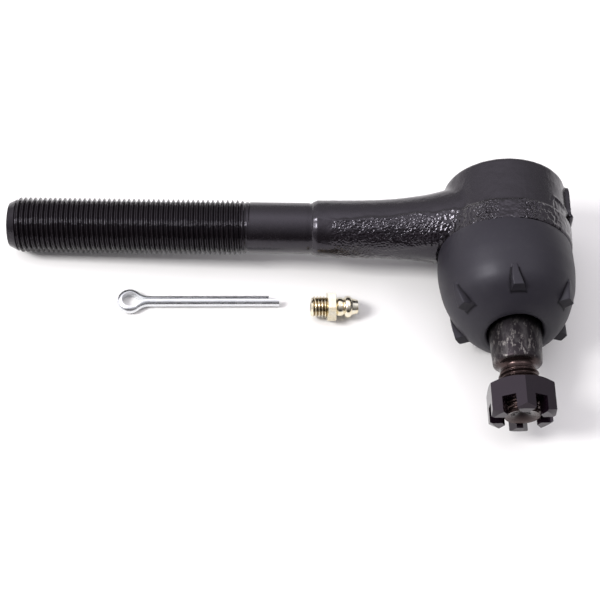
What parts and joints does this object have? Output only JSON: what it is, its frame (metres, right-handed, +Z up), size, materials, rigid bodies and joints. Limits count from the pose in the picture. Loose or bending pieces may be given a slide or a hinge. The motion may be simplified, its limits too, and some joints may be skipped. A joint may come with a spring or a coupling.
{
  "type": "tie rod end",
  "caption": "Tie rod end: threaded shank and forged socket, swinging tapered stud under a ribbed rubber boot, slotted nut, loose cotter pin and grease fitting.",
  "frame": {"origin": "centre of the ball, on the shank's axis", "axes": "-X along the shank to its threaded tip, -Y the way the stud leaves the socket when it stands straight, +Z up from the table the part lies on"},
  "size_m": [0.1608, 0.0719, 0.0382],
  "materials": {
    "housing_paint": "semi-gloss black over a forged skin",
    "cover_paint": "semi-gloss black",
    "spring_steel": "oiled spring steel",
    "hardened_steel": "ground and greased",
    "stud_steel": "mottled phosphate",
    "boot_rubber": "matte moulded",
    "nut_finish": "black oxide, oiled",
    "zinc": "bright zinc",
    "fitting_plate": "pale yellow zinc"
  },
  "bodies": {
    "housing": {"socket_housing": "housing_paint", "end_cover": "cover_paint", "preload_spring": "spring_steel", "pressure_seat": "hardened_steel"},
    "boot_and_race": {"dust_boot": "boot_rubber", "bearing_seat": "hardened_steel"},
    "half_ball": {"half_ball": "hardened_steel"},
    "stud": {"ball_stud": "stud_steel"},
    "nut": {"slotted_nut": "nut_finish"},
    "cotter_pin": {"cotter_pin": "zinc"},
    "grease_fitting": {"fitting_body": "fitting_plate", "check_spring": "spring_steel"},
    "check_ball": {"check_ball": "hardened_steel"}
  },
  "joints": [
    {"name": "boot_turn", "type": "hinge", "parent": "housing", "child": "boot_and_race", "pos_m": [0, 0, 0], "axis": [0, -1, 0], "continuous": true},
    {"name": "stud_swing", "type": "hinge", "parent": "boot_and_race", "child": "half_ball", "pos_m": [0, 0, 0], "axis": [0.9348, 0, 0.3551], "range_deg": [-25, 14.5], "deforming": ["dust_boot"]},
    {"name": "stud_spin", "type": "hinge", "parent": "half_ball", "child": "stud", "pos_m": [0, 0, 0], "axis": [0.032, -0.9959, -0.0842], "continuous": true},
    {"name": "nut_run", "type": "slide", "parent": "stud", "child": "nut", "axis": [0.032, -0.9959, -0.0842], "range_m": [-0.0033, 0.025]},
    {"name": "pin_lift", "type": "slide", "parent": "housing", "child": "cotter_pin", "axis": [0.0727, -0.0664, 0.9951], "range_m": [0, 0.06]},
    {"name": "fitting_lift", "type": "slide", "parent": "housing", "child": "grease_fitting", "axis": [0.0727, -0.0664, 0.9951], "range_m": [0, 0.06]},
    {"name": "check_ball_slide", "type": "slide", "parent": "grease_fitting", "child": "check_ball", "axis": [0.9958, 0.0607, -0.0687], "range_m": [-0.0008, 0], "stiffness_N_per_m": 60, "springref_m": 0.0008, "deforming": ["check_spring"]}
  ]
}
